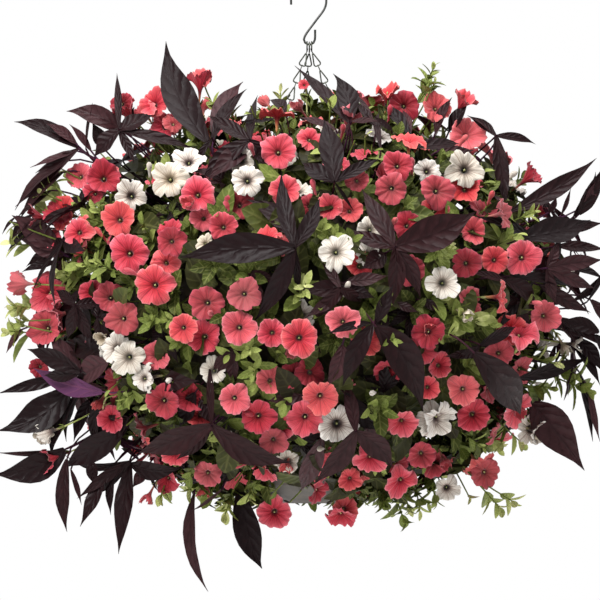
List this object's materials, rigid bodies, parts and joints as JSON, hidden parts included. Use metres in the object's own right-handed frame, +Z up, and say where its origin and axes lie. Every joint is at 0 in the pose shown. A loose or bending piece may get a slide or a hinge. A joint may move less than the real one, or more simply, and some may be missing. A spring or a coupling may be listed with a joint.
{
  "type": "petunia hanging basket",
  "caption": "Ball of coral and white petunias with dark palmate vine in a round-bottomed plastic pot hung by chains from an S-hook.",
  "frame": {"origin": "inside top of the hook's upper loop, where the basket hangs", "axes": "+Z up through the hook and the pot's axis, front towards -Y, +X to the right as seen from the front"},
  "size_m": [0.7936, 0.6878, 0.7882],
  "materials": {
    "hook_wire": "dark grey-green coated steel wire, satin",
    "chain_wire": "zinc plated steel wire, dulled",
    "pot_plastic": "moulded polypropylene, grey-green, satin",
    "potting_mix": "crumbly peat and bark",
    "coral_petal": "thin soft petal with darker veins and a deep red throat",
    "white_petal": "thin soft petal with brown veins and a dark throat",
    "dark_leaf": "smooth dark purple leaf with a grey sheen, red beneath",
    "green_leaf": "soft matt green leaf and stem"
  },
  "bodies": {
    "root": {"s_hook": "hook_wire", "chain_right": "chain_wire", "chain_back": "chain_wire", "chain_left": "chain_wire", "hanging_pot": "pot_plastic", "soil": "potting_mix", "coral_blooms_01": "coral_petal", "coral_blooms_02": "coral_petal", "coral_blooms_03": "coral_petal", "coral_blooms_04": "coral_petal", "coral_blooms_05": "coral_petal", "coral_blooms_06": "coral_petal", "coral_blooms_07": "coral_petal", "coral_blooms_08": "coral_petal", "coral_blooms_09": "coral_petal", "coral_blooms_10": "coral_petal", "coral_blooms_11": "coral_petal", "coral_blooms_12": "coral_petal", "coral_blooms_13": "coral_petal", "coral_blooms_14": "coral_petal", "coral_blooms_15": "coral_petal", "coral_blooms_16": "coral_petal", "coral_blooms_17": "coral_petal", "coral_blooms_18": "coral_petal", "coral_blooms_19": "coral_petal", "coral_blooms_20": "coral_petal", "white_blooms_01": "white_petal", "white_blooms_02": "white_petal", "white_blooms_03": "white_petal", "white_blooms_04": "white_petal", "white_blooms_05": "white_petal", "white_blooms_06": "white_petal", "white_blooms_07": "white_petal", "white_blooms_08": "white_petal", "white_blooms_09": "white_petal", "white_blooms_10": "white_petal", "white_blooms_11": "white_petal", "white_blooms_12": "white_petal", "vine_01": "dark_leaf", "vine_02": "dark_leaf", "vine_03": "dark_leaf", "vine_04": "dark_leaf", "vine_05": "dark_leaf", "vine_06": "dark_leaf", "vine_07": "dark_leaf", "vine_08": "dark_leaf", "vine_09": "dark_leaf", "vine_10": "dark_leaf", "vine_11": "dark_leaf", "vine_12": "dark_leaf", "leafy_shoots_1": "green_leaf", "leafy_shoots_2": "green_leaf", "leafy_shoots_3": "green_leaf", "leafy_shoots_4": "green_leaf", "leafy_shoots_5": "green_leaf", "leafy_shoots_6": "green_leaf", "leafy_shoots_7": "green_leaf", "leafy_shoots_8": "green_leaf", "leafy_shoots_9": "green_leaf"}
  },
  "joints": []
}
